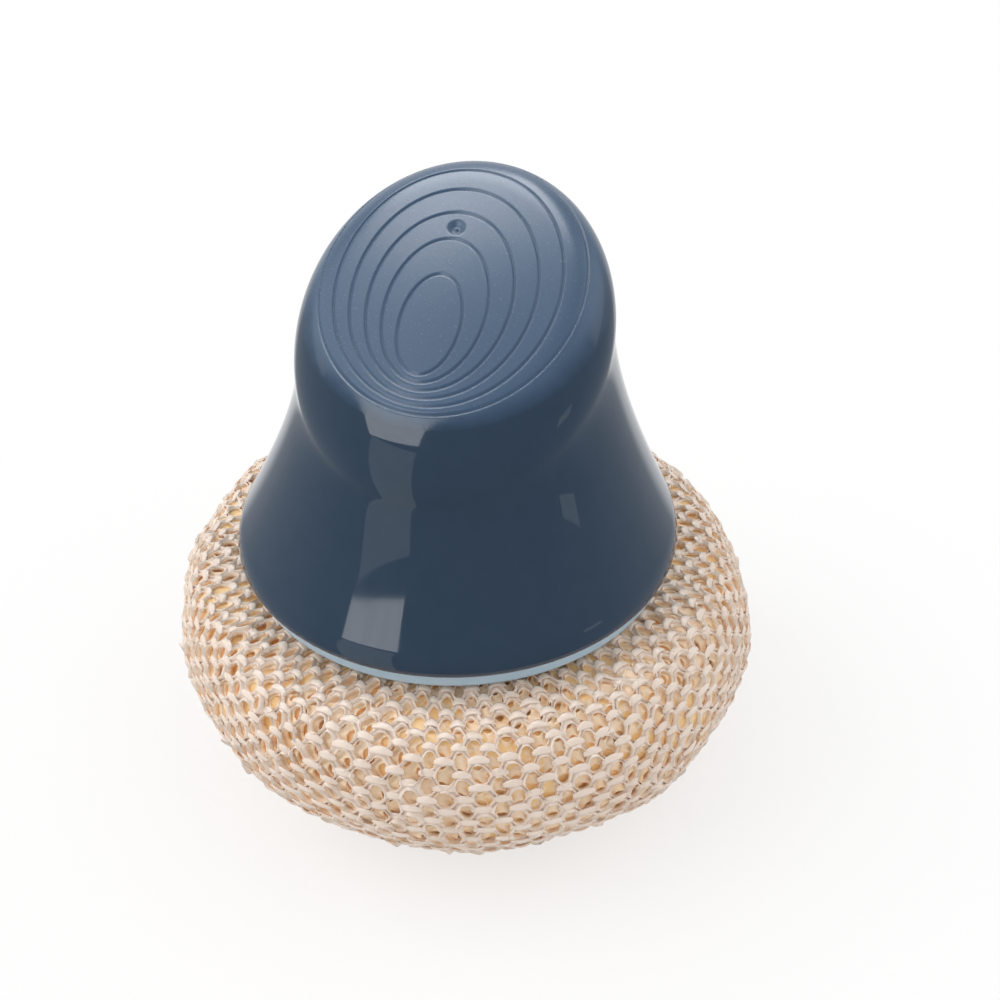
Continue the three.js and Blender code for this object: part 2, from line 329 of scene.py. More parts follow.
def wall_ring(share, inset=0):
    """Ring of the wall, from the shoulder's foot at 0 to the rim's widest place at 1."""
    bulb = BULB_RADIUS - inset
    shoulder = SHOULDER_FOOT + PAD_SLOPE * bulb * np.sin(turn)
    neck = NECK_HEIGHT + NECK_FOLLOW * (shoulder - SHOULDER_FOOT)
    start, bend, end = (1 - share) ** 2, 2 * share * (1 - share), share**2
    radius = (start + bend) * bulb + end * (RIM_RADIUS - inset)
    return np.column_stack([radius * compass, start * shoulder + bend * neck + end * RIM_ROLL])


def level_ring(radius, height):
    return np.column_stack([radius * compass, np.full(SIDES, height)])


print("wall runs from radius", BULB_RADIUS, "to", round(RIM_RADIUS, 1), "mm")

# %% [markdown]
# Six egg-shaped grooves nest on the pad, close together at its lower edge and wide apart at the top.
# A plain grid would need to be very fine to hold them, so the pad's rings follow the eggs instead:
# each groove gets a few rings at set distances from its line, and the bands between need only a few more.

# %% Egg-shaped grooves
GROOVES = 6
GROOVE_DEPTH = 0.2
GROOVE_HALF_WIDTH = 0.26
GROOVE_STEPS = (-0.36, -0.26, -0.195, -0.13, -0.065, 0, 0.065, 0.13, 0.195, 0.26, 0.36)
# Each egg size below is the innermost egg's, and what the outermost has more.
EGG_TOP = (0.5, 18.25)
EGG_BOTTOM = (-11.9, -4.45)
EGG_SIDEWAYS = (-1.4, 1.1)
EGG_HALF_WIDTH = (4.0, 13.5)
TOP_SPACING = 0.83


def egg(share):
    """Outline seen from above, of the innermost groove at 0 to the outermost at 1."""
    top = EGG_TOP[0] + EGG_TOP[1] * share**TOP_SPACING
    bottom, sideways, half_width = (
        least + more * share for least, more in (EGG_BOTTOM, EGG_SIDEWAYS, EGG_HALF_WIDTH)
    )
    centre = np.array((sideways, (top + bottom) / 2))
    return centre + compass * (half_width, (top - bottom) / 2)


def moved_out(outline, distance):
    along = np.roll(outline, -1, 0) - np.roll(outline, 1, 0)
    outward = np.stack([along[:, 1], -along[:, 0]], -1)
    return outline + distance * outward / np.linalg.norm(outward, axis=1, keepdims=True)


def groove_depth(distance):
    return GROOVE_DEPTH * max(0, 1 - (distance / GROOVE_HALF_WIDTH) ** 2) ** 2


eggs = [egg(i / (GROOVES - 1)) for i in range(GROOVES)]
print("innermost groove", np.ptp(eggs[0], 0).round(1), "mm, outermost", np.ptp(eggs[-1], 0).round(1))

# %% [markdown]
# The small dimple with a pip in it, between the second and third groove, is where plastic entered the mould.
# The band of the pad that holds it gets closer rings, so that the dimple is a real hollow.

# %% Gate mark
GATE = (-1.1, 6.9)
GATE_RADIUS = 1.3
GATE_DEPTH = 0.5
PIP_RADIUS = 0.45
PIP_SHARE = 0.8


def gate_depth(plan):
    off = np.linalg.norm((plan - np.array(GATE)) * (1, math.hypot(1, PAD_SLOPE)), axis=-1)
    bowl = np.clip(1 - (off / GATE_RADIUS) ** 2, 0, 1) ** 1.5
    pip = np.clip(1 - (off / PIP_RADIUS) ** 2, 0, 1) ** 2
    return GATE_DEPTH * (bowl - PIP_SHARE * pip)


print("dimple", GATE_DEPTH, "mm deep, its pip", GATE_DEPTH * PIP_SHARE, "mm high")

# %% [markdown]
# The rings run outwards: the heart inside the first egg, then groove and band in turn, then the plain edge
# up to where the texture ends, and last the polished part of the shoulder.

# %% The pad's rings, from its heart to the bulb
HEART_SHARES = (0.01, 0.25, 0.5, 0.75, 0.9)
BAND_RINGS = 4
GATE_BAND = 1
GATE_RINGS = 22
TEXTURE_RINGS = 9
SHOULDER_RADIUS = 20.9
SHOULDER_RINGS = 6


def between(inner, outer, count):
    return [inner + (outer - inner) * (i + 1) / (count + 1) for i in range(count)]


heart = eggs[0].mean(0)
plans = [heart + share * (moved_out(eggs[0], GROOVE_STEPS[0]) - heart) for share in HEART_SHARES]
depths = [0] * len(plans)
for i, outline in enumerate(eggs):
    plans += [moved_out(outline, step) for step in GROOVE_STEPS]
    depths += [groove_depth(step) for step in GROOVE_STEPS]
    if i + 1 < GROOVES:
        count = GATE_RINGS if i == GATE_BAND else BAND_RINGS
        plans += between(plans[-1], moved_out(eggs[i + 1], GROOVE_STEPS[0]), count)
        depths += [0] * count
texture_edge = np.array(TEXTURE_CENTRE) + compass * TEXTURE_RADII
shoulder_edge = SHOULDER_RADIUS * compass
plans += between(plans[-1], texture_edge, TEXTURE_RINGS)
textured_rings = len(plans)
plans += [texture_edge, *between(texture_edge, shoulder_edge, SHOULDER_RINGS), shoulder_edge]
plans = np.array(plans)
depths += [0] * (len(plans) - len(depths))
pad_heights = pad_height(plans) - np.array(depths)[:, None] - gate_depth(plans)
pad_rings = np.concatenate([plans, pad_heights[..., None]], -1)
print("pad of", len(pad_rings), "rings,", textured_rings, "of them textured")

# %% [markdown]
# Below the pad the shoulder rounds over into the wall, the wall sweeps out to the rim, and the rim tucks
# under. Inside, the shell follows the wall at its own thickness, so the piece is hollow as the real one is.

# %% The handle as one shell
HANDLE_WALL = 2
SHOULDER_SHARES = (0.955, 0.975, 0.99, 0.997)
WALL_SHARES = np.linspace(0, 0.965, 56)
RIM_CURVE = ((-0.1, 1.2), (-0.12, 0.75), (-0.25, 0.35), (-0.55, 0.08), (-0.9, 0))
INSIDE_STRIDE = 5
CEILING_SHARES = (0.75, 0.4, 0.02)

handle_rings = list(pad_rings)
for share in SHOULDER_SHARES:
    width = SHOULDER_WIDTH + SHOULDER_EASE * np.sin(turn)
    plan = compass * (BULB_RADIUS - (1 - share) * width)[:, None]
    handle_rings.append(np.column_stack([plan, pad_height(plan)]))
handle_rings += [wall_ring(share) for share in WALL_SHARES]
handle_rings += [level_ring(RIM_RADIUS + step, height) for step, height in RIM_CURVE]
handle_rings += [wall_ring(share, HANDLE_WALL) for share in WALL_SHARES[::-INSIDE_STRIDE]]
inner_top = wall_ring(0, HANDLE_WALL)
for share in CEILING_SHARES:
    ceiling = inner_top * (share, share, 1) + (0, 0, (1 - share) * SHOULDER_HEIGHT / 2)
    ceiling[:, 2] -= PAD_SLOPE * (1 - share) * inner_top[:, 1]
    handle_rings.append(ceiling)
handle_rings = np.array(handle_rings) + (0, 0, RIM_Z)
handle_faces = grid_faces(*handle_rings.shape[:2])
handle = mesh_piece(
    "handle", "handle", handle_rings.reshape(-1, 3), handle_faces, [polished_abs, textured_abs]
)
is_textured = np.arange(len(handle_faces)) < textured_rings * SIDES
handle.data.polygons.foreach_set("material_index", is_textured.astype(np.int32))
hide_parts("handle_shell")

# %% [markdown]
# A pale blue plate closes the bell from below and shows as a thin line under the rim.
# It is polypropylene, which looks waxier than ABS: IOR about 1.49, and a satin skin.
# The fittings hidden inside are moulded in the same plastic without colour.

# %% Satin polypropylene
PP_IOR = 1.49
FLOW_SIZE = 6


def satin_pp(name, tones):
    material = new_material(name)
    flow = noise(material, FLOW_SIZE, detail=3)
    add_surface(
        material,
        {
            "Base Color": two_tones(material, flow, tones),
            "Roughness": ranged(material, flow, (0.25, 0.4)),
            "IOR": PP_IOR,
        },
    )
    return material


blue_pp = satin_pp("polypropylene moulded, pale blue", ("#adc8da", "#bad3e3"))
natural_pp = satin_pp("polypropylene moulded, natural", ("#e3e0d8", "#ece9e2"))
print(blue_pp.name, "and", natural_pp.name)

# %% [markdown]
# The plate is turned from one outline: a disc with rounded edges, and the spigot that the handle locks on.

# %% Base plate
PLATE_GAP = 0.08
PLATE_TOP = RIM_Z - PLATE_GAP
PLATE_ROUND = 0.6
ROUND_STEPS = np.radians(np.linspace(0, 90, 7))
SPIGOT_RADIUS = 24.25
SPIGOT_WALL = 2
SCREW_HOLE = 1.8
SHARP_ANGLE = math.radians(40)

spigot_bore = SPIGOT_RADIUS - SPIGOT_WALL
edge = PLATE_RADIUS - PLATE_ROUND
outline = [(SCREW_HOLE, PLATE_BOTTOM)]
for a in ROUND_STEPS:
    outline.append((edge + PLATE_ROUND * math.sin(a), PLATE_BOTTOM + PLATE_ROUND * (1 - math.cos(a))))
for a in ROUND_STEPS:
    outline.append((edge + PLATE_ROUND * math.cos(a), PLATE_TOP - PLATE_ROUND * (1 - math.sin(a))))
outline += [(SPIGOT_RADIUS, PLATE_TOP), (SPIGOT_RADIUS, SPIGOT_TOP)]
outline += [(spigot_bore, SPIGOT_TOP), (spigot_bore, PLATE_TOP)]
outline += [(SCREW_HOLE, PLATE_TOP), (SCREW_HOLE, PLATE_BOTTOM)]
plate_rings = np.array([level_ring(radius, height) for radius, height in outline])
plate_faces = grid_faces(*plate_rings.shape[:2])[:, ::-1]
plate = mesh_piece(
    "base_plate_disc", "holder", plate_rings.reshape(-1, 3), plate_faces, [blue_pp]
)
plate.data.set_sharp_from_angle(angle=SHARP_ANGLE)
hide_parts("base_plate")

# %% [markdown]
# The crown that hooks the net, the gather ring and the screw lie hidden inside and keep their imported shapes.
# The screw is steel with a bright zinc coat, finely mottled by the plating bath.

# %% Hidden fittings
ZINC_SPANGLE = 0.8

zinc_steel = new_material("steel, zinc plated")
spangle_inputs = {"Vector": object_place(zinc_steel), "Scale": per_metre(ZINC_SPANGLE)}
spangle = add_node(zinc_steel, "ShaderNodeTexVoronoi", spangle_inputs).outputs["Distance"]
tint = two_tones(zinc_steel, spangle, ("#b9bbbd", "#c6c8c9"))
add_surface(zinc_steel, {"Base Color": tint, "Metallic": 1, "Roughness": 0.3})
for node, material in (("claw_crown", natural_pp), ("gather_ring", natural_pp), ("crown_screw", zinc_steel)):
    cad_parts[node].data.materials.clear()
    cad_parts[node].data.materials.append(material)
    print(node, "in", material.name)

# %% [markdown]
# The net is knitted from flat polyester ribbon, drawn and slit: cream, a little glossy, IOR about 1.57.
# Light that goes deep into it bounces from ribbon to ribbon and comes out amber, so the layers below are
# drawn warmer than the outer one. Ribbon on edge beside a hole is drawn paler, as light shines through it.

# %% Knitted polyester ribbon
PET_IOR = 1.57
SHADE_SIZE = 6
STREAK_SIZE = 0.5
STREAK_DEPTH = 0.05


def ribbon_pet(name, tones):
    material = new_material(name)
    shade = noise(material, SHADE_SIZE, detail=3)
    streak = noise(material, STREAK_SIZE, detail=2)
    add_surface(
        material,
        {
            "Base Color": two_tones(material, shade, tones, (0.3, 0.7)),
            "Roughness": ranged(material, streak, (0.3, 0.5)),
            "IOR": PET_IOR,
            "Normal": bump(material, streak, STREAK_DEPTH, strength=0.25),
        },
    )
    return material


flat_pet = ribbon_pet("polyester ribbon, lying flat", ("#eedbcb", "#f5e5d7"))
edge_pet = ribbon_pet("polyester ribbon, standing on edge", ("#fae9d6", "#fcf0e3"))
middle_pet = ribbon_pet("polyester ribbon, middle layer", ("#fad9b0", "#fce3c6"))
inner_pet = ribbon_pet("polyester ribbon, inner layer", ("#f7cd8a", "#fad8a2"))
print("ribbon streaks drawn", STREAK_SIZE, "mm wide")

# %% [markdown]
# The net's ball is described by its meridian: from the gathered mouth out under the plate, over the flank
# and down to the foot, where it is drawn in again. A place on the net is a turn about the axis and a
# distance along that meridian, as on a globe. A soft ball never sits true, so its flank leans to one side.

# %% Meridian of the ball
TOP_FLAT = 37.5
FOOT_FLAT = 18
FOOT_TUCK = 1.22
FOOT_GATHER = 4
FOOT_DIMPLE = 2
LEAN = 1.2
MOST_LEAN = 1.8
ARC = np.linspace(0, np.pi / 2, 60)
FINE_STEP = 0.5

upper_radius = TOP_FLAT + (BALL_RADIUS - TOP_FLAT) * np.sin(ARC)
upper_height = BALL_EQUATOR + (BALL_TOP - BALL_EQUATOR) * np.cos(ARC)
lower_radius = FOOT_FLAT + (BALL_RADIUS - FOOT_FLAT) * np.cos(ARC) ** FOOT_TUCK
lower_height = BALL_EQUATOR * (1 - np.sin(ARC))
upper_flank = np.stack([upper_radius, upper_height], -1)
lower_flank = np.stack([lower_radius, lower_height], -1)
meridian = np.concatenate(
    [[(RING_RADIUS, BALL_TOP)], upper_flank, lower_flank[1:], [(FOOT_GATHER, FOOT_DIMPLE)]]
)
meridian_length = np.concatenate([[0], np.cumsum(np.linalg.norm(np.diff(meridian, axis=0), axis=1))])
NET_LENGTH = meridian_length[-1]


def on_meridian(distance):
    return [np.interp(distance, meridian_length, meridian[:, k]) for k in (0, 1)]


def on_ball(angle, distance, lift):
    """Points of the ball at a turn and a distance from the mouth, lifted off its surface."""
    radius, height = on_meridian(distance)
    radius_after, height_after = on_meridian(np.minimum(distance + FINE_STEP, NET_LENGTH))
    radius_before, height_before = on_meridian(np.maximum(distance - FINE_STEP, 0))
    outward, upward = height_before - height_after, radius_after - radius_before
    size = np.hypot(outward, upward)
    radius = radius + lift * outward / size
    height = height + lift * upward / size
    lean = LEAN * np.clip((BALL_TOP - height) / (BALL_TOP - BALL_EQUATOR), 0, MOST_LEAN)
    x = radius * np.cos(angle) + lean * right.x
    y = radius * np.sin(angle) + lean * right.y
    return np.stack([x, y, height], -1)


print(f"meridian {NET_LENGTH:.1f} mm long")

# %% [markdown]
# In a knit of flat ribbon the heads and feet of the loops lie flat, as small bows, and the legs stand on
# edge. Together they leave round holes in staggered rows, with a bow between each hole and the next one.
# Drawing each ribbon as a strip makes square holes, so the loops are drawn from the holes instead: the net
# is parted into six-sided cells, like a honeycomb, whose corners are pushed about a little by chance.

# %% Outlines of the net's cells
ROW_GAP = 1.86
SIDE_CORNER = 0.42
CORNER_PUSH = (0.03, 0.1, 0.1)
LEG_DIP = 0.4
# Points along an edge of a cell: the share of the edge, and whether the point dips.
FINE_LEG = ((0, 0), (1 / 4, 1), (3 / 4, 1))
FINE_BOW = ((0, 0), (1 / 2, 0))
COARSE_LEG = ((0, 0), (1 / 2, 1))
COARSE_BOW = ((0, 0),)
FINE_EDGES = (FINE_LEG, FINE_BOW, FINE_LEG) * 2
COARSE_EDGES = (COARSE_LEG, COARSE_BOW, COARSE_LEG) * 2


def cell_outlines(random, stitches, rows, edges):
    """Outlines and centres of all cells, as places across in stitches, along in millimetres, and lift."""
    row = np.arange(-1, rows + 1)[:, None]
    across = np.arange(stitches) + 0.5 * (row % 2)
    centres = np.stack([across, ROW_GAP * row + 0 * across, 0 * across], -1)
    lefts = centres - (SIDE_CORNER, 0, 0) + random.normal(0, CORNER_PUSH, centres.shape)
    rights = centres + (SIDE_CORNER, 0, 0) + random.normal(0, CORNER_PUSH, centres.shape)
    here = np.arange(1, rows + 1)[:, None]
    column = np.arange(stitches)[None, :]
    after = (column + (row[1:-1] % 2)) % stitches
    before = (after - 1) % stitches
    corners = [
        rights[here, column],
        lefts[here + 1, after],
        rights[here + 1, before],
        lefts[here, column],
        rights[here - 1, before],
        lefts[here - 1, after],
    ]
    corners = np.stack(corners, 2)
    centres = centres[1:-1, :, None]
    wrapped = (corners[..., 0] - centres[..., 0] + stitches / 2) % stitches - stitches / 2
    corners[..., 0] = centres[..., 0] + wrapped
    outlines = []
    for i, stops in enumerate(edges):
        start, end = corners[:, :, i], corners[:, :, (i + 1) % len(edges)]
        outlines += [start + (end - start) * share - (0, 0, LEG_DIP * dips) for share, dips in stops]
    return np.stack(outlines, 2), centres


print(sum(map(len, FINE_EDGES)), "points round a cell outside,", sum(map(len, COARSE_EDGES)), "inside")

# %% [markdown]
# Each cell holds one hole. Rows of wider and narrower holes take turns, as heads and feet of loops do.
# No two are alike: each has its own size, lies a little off its cell's centre and tilts its own way.

# %% Holes of the net's cells
HOLE_ACROSS = np.array((0.22, 0.27))  # half widths in stitches, of one row and the next
HOLE_ALONG = 1.4
HOLE_FLATNESS = 0.9
HOLE_PUSH = (0.02, 0.07, 0.08)
HOLE_SIZES = 0.07
HOLE_TILT = 0.18


def cell_holes(random, outlines, centres):
    """Middles of the holes, their rims as seen from the middles, and the rims' tilts."""
    rows, stitches = outlines.shape[:2]
    plain = (outlines - centres).mean((0, 1))
    bearing = np.arctan2(plain[:, 1] / HOLE_ALONG, plain[:, 0] / HOLE_ACROSS.mean())
    sizes = random.normal(1, HOLE_SIZES, (rows, stitches, 1, 1))
    slants = random.normal(0, HOLE_TILT, (rows, stitches, 2))
    tilts = np.einsum("rct,tk->rck", slants, np.stack([np.cos(bearing), np.sin(bearing)]))
    flattened = np.sign(np.sin(bearing)) * np.abs(np.sin(bearing)) ** HOLE_FLATNESS
    wide = HOLE_ACROSS[np.arange(rows) % 2][:, None, None] * np.cos(bearing)
    rims = sizes * np.stack(np.broadcast_arrays(wide, HOLE_ALONG * flattened), -1)
    middles = centres + random.normal(0, HOLE_PUSH, (rows, stitches, 1, 3))
    return middles, rims, tilts


def net_cells(seed, stitches, rows, edges):
    random = np.random.default_rng(seed)
    outlines, centres = cell_outlines(random, stitches, rows, edges)
    return outlines, cell_holes(random, outlines, centres)


print("holes", 2 * HOLE_ALONG, "mm long")

# %% [markdown]
# Each ring of a cell lies part of the way from the outline to the hole, at its own height.
# Outside, the ribbon is slightly domed, its rim stands up where it turns on edge, and the wall goes down to
# the ribbon's other edge before the cell closes underneath. The layer below needs fewer rings.

# %% Rings of the net's cells
# Each ring: its distance from the hole, the most of the way it may take up, the hole's scale, and the lift.
FINE_RINGS = (
    (np.inf, 1.0, 1.0, 0.0),
    (0.8, 0.8, 1.0, -0.03),
    (0.42, 0.6, 1.0, 0.03),
    (0.18, 0.4, 1.0, 0.12),
    (0.0, 0.0, 1.0, 0.06),
    (0.0, 0.0, 1.0, -0.45),
    (0.0, 0.0, 1.06, -1.0),
    (np.inf, 1.0, 1.0, -0.6),
)
COARSE_RINGS = (
    (np.inf, 1.0, 1.0, 0.0),
    (0.2, 0.4, 0.75, 0.12),
    (0.0, 0.0, 0.75, 0.0),
    (0.0, 0.0, 0.85, -0.6),
    (np.inf, 1.0, 1.0, -0.6),
)


def cell_rings(outlines, holes, rings):
    """Rings of all cells of a layer, from their outlines to their holes."""
    middles, rims, tilts = holes
    millimetres = (2 * np.pi * BALL_RADIUS / outlines.shape[1], 1, 0)
    made = []
    for width, most, scale, lift in rings:
        hole = middles + np.concatenate([scale * rims, tilts[..., None]], -1)
        gap = np.linalg.norm((outlines - hole) * millimetres, axis=-1, keepdims=True)
        share = np.minimum(width / gap, most)
        made.append(hole + (outlines - hole) * share + (0, 0, lift))
    return np.stack(made, 2)


def welded(points):
    """Points and faces of cells whose outlines meet, with one point where two cells share it."""
    rings, columns = points.shape[2:4]
    cell_faces = grid_faces(rings, columns)
    starts = np.arange(points.shape[0] * points.shape[1]) * rings * columns
    faces = (starts[:, None, None] + cell_faces).reshape(-1, 4)
    flat = points.reshape(-1, 3)
    _, kept, place = np.unique(flat.round(4), axis=0, return_index=True, return_inverse=True)
    return flat[kept], place.reshape(-1)[faces]


print("cells of", len(FINE_RINGS), "rings outside and", len(COARSE_RINGS), "below")

# %% [markdown]
# A net on a ball is pulled about: it swells and sinks by fractions of a millimetre, and its rows wander.
# A few sine waves of chance direction make such a slow, smooth field, which fits where it meets itself.

# %% Laying the net on the ball
WAVES = 6
SWELL_HEIGHT = 0.3
SWELL_LENGTH = 22
SWELL_SEED = 7
PULL = 0.3
PULL_LENGTH = 18
TABLE_CLEARANCE = 0.05
PLATE_CLEARANCE = 0.15


def slow_waves(random, angle, distance, size, length):
    """A smooth uneven field over the ball, of that size and of waves about that long."""
    total = 0
    for _ in range(WAVES):
        around = random.integers(1, round(2 * np.pi * BALL_RADIUS / length))
        along = random.uniform(-1, 1) * 2 * np.pi / length
        total = total + np.sin(around * angle + along * distance + random.uniform(0, 2 * np.pi))
    return size * total / WAVES**0.5


def laid_on_ball(places, seed, stitches, inset):
    """Points of a layer that far under the ball's surface, with the swelling that all layers share."""
    random = np.random.default_rng(seed)
    across, distance, lift = np.moveaxis(places, -1, 0)
    angle = across * 2 * np.pi / stitches
    swell = slow_waves(np.random.default_rng(SWELL_SEED), angle, distance, SWELL_HEIGHT, SWELL_LENGTH)
    moved = distance + slow_waves(random, angle, distance, PULL, PULL_LENGTH)
    turned = angle + slow_waves(random, angle, distance, PULL, PULL_LENGTH) / BALL_RADIUS
    points = on_ball(turned, np.clip(moved, 0, NET_LENGTH), lift - inset + swell)
    points[..., 2] = np.clip(points[..., 2], TABLE_CLEARANCE, PLATE_BOTTOM - PLATE_CLEARANCE)
    return points


print("net swells by about", SWELL_HEIGHT, "mm over", SWELL_LENGTH, "mm")

# %% [markdown]
# Two layers are drawn stitch by stitch: the outer one that is seen, and one that shows through its holes.
# Each is cut into bands of rows to keep the meshes small.

# %% Layers of the net
STITCHES = 62
MIDDLE_STITCHES = 59
ALL_ROWS = int(NET_LENGTH / ROW_GAP)
MIDDLE_ROWS = ALL_ROWS - 5  # the gathered foot hides the rest
FIRST_ROW = 5
WALL_RING = 4
OUTER_SEEDS = (1, 3)  # for the cells, and for the pull on them
MIDDLE_SEEDS = (2, 4)
OUTER_INSET = 0.8
MIDDLE_INSET = 1.4


def net_piece(name, slot, points, faces, materials):
    piece = mesh_piece(name, "ball", points, faces, materials)
    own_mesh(piece)
    return piece


outer_cells = net_cells(OUTER_SEEDS[0], STITCHES, ALL_ROWS, FINE_EDGES)
outer = cell_rings(*outer_cells, FINE_RINGS)[FIRST_ROW:]
outer = laid_on_ball(outer, OUTER_SEEDS[1], STITCHES, OUTER_INSET)
middle_cells = net_cells(MIDDLE_SEEDS[0], MIDDLE_STITCHES, MIDDLE_ROWS, COARSE_EDGES)
middle = cell_rings(*middle_cells, COARSE_RINGS)[FIRST_ROW:]
middle = laid_on_ball(middle, MIDDLE_SEEDS[1], MIDDLE_STITCHES, MIDDLE_INSET)

outer_names = ("net_outer_mouth", "net_outer_top", "net_outer_flank", "net_outer_foot")
for name, cells in zip(outer_names, np.array_split(outer, len(outer_names))):
    points, faces = welded(cells)
    piece = net_piece(name, "net_outer", points, faces, [flat_pet, edge_pet])
    rings, columns = cells.shape[2] - 1, cells.shape[3]
    on_edge = np.arange(len(faces)) // columns % rings >= WALL_RING
    piece.data.polygons.foreach_set("material_index", on_edge.astype(np.int32))
    if name == "net_outer_top":
        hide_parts("outer_sleeve")

middle_names = ("net_middle_top", "net_middle_foot")
for name, cells in zip(middle_names, np.array_split(middle, len(middle_names))):
    net_piece(name, "net_inner", *welded(cells), [middle_pet])

# %% [markdown]
# The bows stand proud of that: short bands of flat ribbon, each from one hole to the next one beside it.
# They arch off the net and turn down into the holes at both ends, so that the ball's outline is bumpy.
# Each is a flattened tube of a few rings, laid on the ball with the same unevenness as the cells below it.

# %% Bows of the net
BOW_STEPS = np.linspace(-1, 1, 7)[:, None]
BOW_PROFILE = np.array(((1, 0), (0.6, 0.07), (0, 0.1), (-0.6, 0.07), (-1, 0), (-0.6, -0.2), (0.6, -0.2)))
BOW_OVERHANG = 0.05
BOW_HALF_HEIGHT = 0.6
BOW_TAPER = 0.45
BOW_CURVE = 0.35
BOW_RISE = 0.16
BOW_DIVE = 2.2

bow_centres = outer_cells[0][FIRST_ROW:, :, 0] + (0.5 - SIDE_CORNER, 0, 0)
across, along, lift = np.moveaxis(bow_centres[:, :, None, None], -1, 0)
parity = np.arange(FIRST_ROW, ALL_ROWS)[:, None, None, None] % 2
bow_reach = 0.5 - HOLE_ACROSS[parity] + BOW_OVERHANG
bow_half = BOW_HALF_HEIGHT * (1 - BOW_TAPER * BOW_STEPS**2)
bows = np.broadcast_arrays(
    across + bow_reach * BOW_STEPS,
    along + bow_half * BOW_PROFILE[:, 0] - BOW_CURVE * (1 - BOW_STEPS**2),
    lift + BOW_RISE * (1 - BOW_DIVE * BOW_STEPS**2) + BOW_PROFILE[:, 1],
)
bows = laid_on_ball(np.stack(bows, -1), OUTER_SEEDS[1], STITCHES, OUTER_INSET)
bow_names = ("net_bows_top", "net_bows_foot")
for name, part in zip(bow_names, np.array_split(bows, len(bow_names))):
    net_piece(name, "net_outer", *welded(part), [flat_pet])

# %% [markdown]
# Under those layers the net is simply packed tight. A lumpy ring in the innermost colour stands for it.

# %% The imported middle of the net
CORE_INSET = 1.75
CORE_COLUMNS = 160
CORE_ROWS = 80
CORE_START = 2
CORE_END = NET_LENGTH - 6
CORE_BORE = 14
BORE_STRIDE = 4
LUMP_HEIGHT = 0.15
LUMP_LENGTHS = (8, 4)
CORE_SEED = 5

angle, distance = np.meshgrid(
    np.linspace(0, 2 * np.pi, CORE_COLUMNS, endpoint=False), np.linspace(CORE_START, CORE_END, CORE_ROWS)
)
random = np.random.default_rng(CORE_SEED)
lumps = sum(slow_waves(random, angle, distance, LUMP_HEIGHT, length) for length in LUMP_LENGTHS)
packed = on_ball(angle, distance, lumps - CORE_INSET)
bore = np.stack([CORE_BORE * np.cos(angle), CORE_BORE * np.sin(angle), packed[..., 2]], -1)
core_points = np.concatenate([packed, bore[::-BORE_STRIDE], packed[:1]])
core_faces = grid_faces(*core_points.shape[:2])
core = net_piece("net_core", "net_inner", core_points.reshape(-1, 3), core_faces, [inner_pet])
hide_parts("inner_roll")

# %% [markdown]
# The floor is plain white board, big enough to fill the picture.
# To the camera it also glows: all white further out, less so near the ball, where the shadow stays on it.
# Seen from below it lets the view through.

# %% White board
FIBRE_SIZE = 1.5
GLOW_NEAR = 0.62
SHADOW_RADIUS = 38
WHITE_RADIUS = 125

white_board = new_material("card, white matt")
spot = add_node(
    white_board,
    "ShaderNodeMapping",
    {"Vector": object_place(white_board), "Scale": [per_metre(WHITE_RADIUS)] * 3},
)
inward = add_node(
    white_board, "ShaderNodeTexGradient", {"Vector": spot.outputs["Vector"]}, gradient_type="SPHERICAL"
)
whiteness = ranged(
    white_board, inward.outputs["Fac"], (1, GLOW_NEAR), old=(0, 1 - SHADOW_RADIUS / WHITE_RADIUS)
)
seen = add_node(white_board, "ShaderNodeLightPath", {}).outputs["Is Camera Ray"]
below = add_node(white_board, "ShaderNodeNewGeometry", {}).outputs["Backfacing"]
fibre = two_tones(white_board, noise(white_board, FIBRE_SIZE, detail=2), ("#fbfbfb", "#fcfcfc"))
matt = add_node(white_board, "ShaderNodeBsdfDiffuse", {"Color": fibre}).outputs["BSDF"]
glow = add_node(white_board, "ShaderNodeEmission", {"Strength": 1.0}).outputs["Emission"]
clear = add_node(white_board, "ShaderNodeBsdfTransparent", {}).outputs["BSDF"]
glowing = combined(white_board, "MULTIPLY", seen, whiteness)
above = add_node(white_board, "ShaderNodeMixShader", {0: glowing, 1: matt, 2: glow}).outputs["Shader"]
sides = add_node(white_board, "ShaderNodeMixShader", {0: below, 1: above, 2: clear}).outputs["Shader"]
add_node(white_board, "ShaderNodeOutputMaterial", {"Surface": sides})
print(white_board.name, "all white from", WHITE_RADIUS, "mm")

# %% [markdown]
# The board is a flat disc. It is kept out of the gloss, so that the handle's rim mirrors only the room.

# %% Floor
FLOOR_RADIUS = 3000
FLOOR_RINGS = (0.01, *np.geomspace(20, FLOOR_RADIUS, 24))

floor_rings = np.array([level_ring(radius, 0) for radius in FLOOR_RINGS])
floor_faces = grid_faces(*floor_rings.shape[:2])
floor_mesh = bpy.data.meshes.new("floor")
floor_mesh.from_pydata((floor_rings.reshape(-1, 3) * MM).tolist(), [], floor_faces.tolist())
floor_mesh.materials.append(white_board)
floor = bpy.data.objects.new("floor", floor_mesh)
floor.visible_glossy = False
bpy.context.scene.collection.objects.link(floor)
print("floor of", FLOOR_RADIUS, "mm")

# %% [markdown]
# The studio is white behind and beside the scrubber, and a dim room lies behind the camera.
# The room matters only to the gloss: the handle's front mirrors it and looks navy, its edges mirror white.
# So matt surfaces get plain soft light, a little stronger from behind, and only reflections see the room.

# %% World
SOFT_LIGHT = (0.84, 0.58)  # behind and in front
DIM_ROOM = 0.12
# How far a direction points to the front, from -1 to 1, and how bright the room is there.
ROOM_TONES = (
    (-0.74, 1.0),
    (-0.66, 0.5),
    (-0.45, 0.45),
    (-0.1, 0.36),
    (0.3, 0.2),
    (0.7, DIM_ROOM),
)

